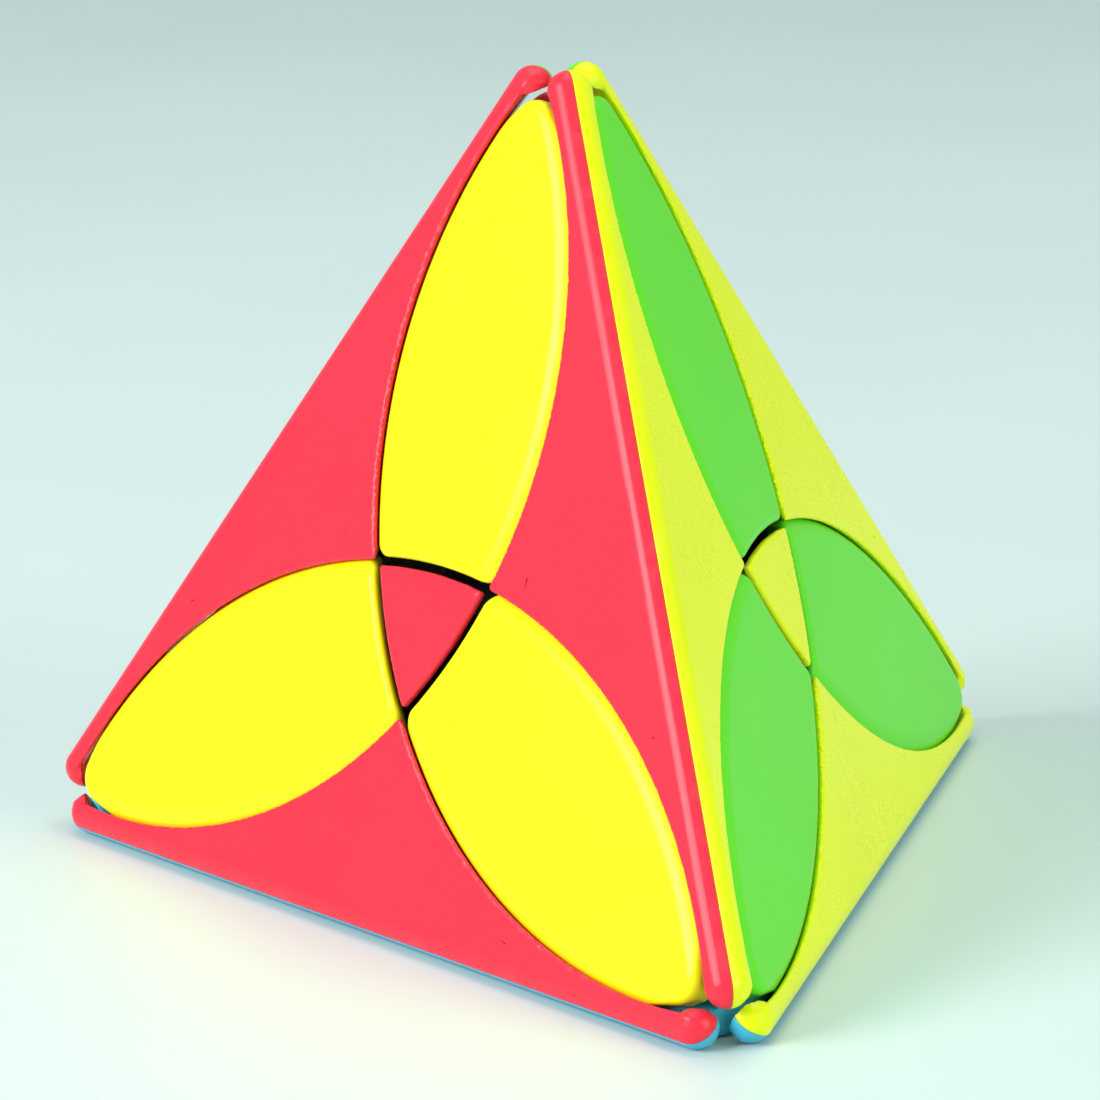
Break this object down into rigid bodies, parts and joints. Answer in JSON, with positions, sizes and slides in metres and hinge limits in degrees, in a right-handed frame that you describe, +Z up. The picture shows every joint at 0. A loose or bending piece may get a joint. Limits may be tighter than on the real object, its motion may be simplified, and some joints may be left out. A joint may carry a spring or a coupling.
{
  "type": "pyramid twisty puzzle",
  "caption": "Tetrahedral twisty puzzle with curved cuts: each corner turns on its own axis and carries its petals and the edge pieces round it.",
  "frame": {"origin": "centre of the bottom face, on the surface that the puzzle stands on", "axes": "+Z up through the top corner, -Y out of the front face, +X towards the front right corner"},
  "size_m": [0.0992, 0.0872, 0.0811],
  "materials": {
    "inner_plastic": "matte",
    "petal_blue": "satin gloss",
    "petal_green": "satin gloss",
    "petal_red": "satin gloss",
    "petal_yellow": "satin gloss",
    "shell_blue": "satin gloss",
    "shell_green": "satin gloss",
    "shell_red": "satin gloss",
    "shell_yellow": "satin gloss",
    "steel": "plain"
  },
  "bodies": {
    "core_body": {"core": "inner_plastic", "axle_screws": "steel", "centre_cap_front": "shell_red", "centre_cap_rightside": "shell_yellow", "centre_cap_leftside": "shell_green", "centre_cap_bottom": "shell_blue"},
    "corner_top": {"corner_base_top": "inner_plastic", "washer_top": "steel", "spring_top": "steel", "petal_top_front": "petal_yellow", "petal_top_rightside": "petal_green", "petal_top_leftside": "petal_red"},
    "corner_left": {"corner_base_left": "inner_plastic", "washer_left": "steel", "spring_left": "steel", "petal_left_front": "petal_yellow", "petal_left_leftside": "petal_red", "petal_left_bottom": "petal_blue"},
    "corner_right": {"corner_base_right": "inner_plastic", "washer_right": "steel", "spring_right": "steel", "petal_right_front": "petal_yellow", "petal_right_rightside": "petal_green", "petal_right_bottom": "petal_blue"},
    "corner_back": {"corner_base_back": "inner_plastic", "washer_back": "steel", "spring_back": "steel", "petal_back_rightside": "petal_green", "petal_back_leftside": "petal_red", "petal_back_bottom": "petal_blue"},
    "edge_top_left": {"edge_foot_top_left": "inner_plastic", "edge_shell_top_left_front": "shell_red", "edge_shell_top_left_leftside": "shell_green"},
    "edge_top_right": {"edge_foot_top_right": "inner_plastic", "edge_shell_top_right_front": "shell_red", "edge_shell_top_right_rightside": "shell_yellow"},
    "edge_top_back": {"edge_foot_top_back": "inner_plastic", "edge_shell_top_back_rightside": "shell_yellow", "edge_shell_top_back_leftside": "shell_green"},
    "edge_left_right": {"edge_foot_left_right": "inner_plastic", "edge_shell_left_right_front": "shell_red", "edge_shell_left_right_bottom": "shell_blue"},
    "edge_right_back": {"edge_foot_right_back": "inner_plastic", "edge_shell_right_back_rightside": "shell_yellow", "edge_shell_right_back_bottom": "shell_blue"},
    "edge_back_left": {"edge_foot_back_left": "inner_plastic", "edge_shell_back_left_leftside": "shell_green", "edge_shell_back_left_bottom": "shell_blue"}
  },
  "joints": [
    {"name": "turn_top", "type": "hinge", "parent": "core_body", "child": "corner_top", "pos_m": [0, 0, 0.02235], "axis": [0, 0, 1], "continuous": true},
    {"name": "turn_left", "type": "hinge", "parent": "core_body", "child": "corner_left", "pos_m": [0, 0, 0.02235], "axis": [-0.8165, -0.4714, -0.3333], "range_deg": [-360, 360]},
    {"name": "turn_right", "type": "hinge", "parent": "core_body", "child": "corner_right", "pos_m": [0, 0, 0.02235], "axis": [0.8165, -0.4714, -0.3333], "range_deg": [-360, 360]},
    {"name": "turn_back", "type": "hinge", "parent": "core_body", "child": "corner_back", "pos_m": [0, 0, 0.02235], "axis": [0, 0.9428, -0.3333], "range_deg": [-360, 360]},
    {"name": "edge_top_left_turns_left", "type": "hinge", "parent": "corner_top", "child": "edge_top_left", "pos_m": [0, 0, 0.02235], "axis": [-0.8165, -0.4714, -0.3333], "range_deg": [-360, 360]},
    {"name": "edge_top_right_turns_right", "type": "hinge", "parent": "corner_top", "child": "edge_top_right", "pos_m": [0, 0, 0.02235], "axis": [0.8165, -0.4714, -0.3333], "range_deg": [-360, 360]},
    {"name": "edge_top_back_turns_back", "type": "hinge", "parent": "corner_top", "child": "edge_top_back", "pos_m": [0, 0, 0.02235], "axis": [0, 0.9428, -0.3333], "range_deg": [-360, 360]},
    {"name": "edge_left_right_turns_right", "type": "hinge", "parent": "corner_left", "child": "edge_left_right", "pos_m": [0, 0, 0.02235], "axis": [0.8165, -0.4714, -0.3333], "range_deg": [-360, 360]},
    {"name": "edge_right_back_turns_back", "type": "hinge", "parent": "corner_right", "child": "edge_right_back", "pos_m": [0, 0, 0.02235], "axis": [0, 0.9428, -0.3333], "range_deg": [-360, 360]},
    {"name": "edge_back_left_turns_left", "type": "hinge", "parent": "corner_back", "child": "edge_back_left", "pos_m": [0, 0, 0.02235], "axis": [-0.8165, -0.4714, -0.3333], "range_deg": [-360, 360]}
  ],
  "couplings": [
    {"joint": "edge_top_left_turns_left", "follows": "turn_left", "ratio": 1},
    {"joint": "edge_back_left_turns_left", "follows": "turn_left", "ratio": 1},
    {"joint": "edge_top_right_turns_right", "follows": "turn_right", "ratio": 1},
    {"joint": "edge_left_right_turns_right", "follows": "turn_right", "ratio": 1},
    {"joint": "edge_top_back_turns_back", "follows": "turn_back", "ratio": 1},
    {"joint": "edge_right_back_turns_back", "follows": "turn_back", "ratio": 1}
  ]
}
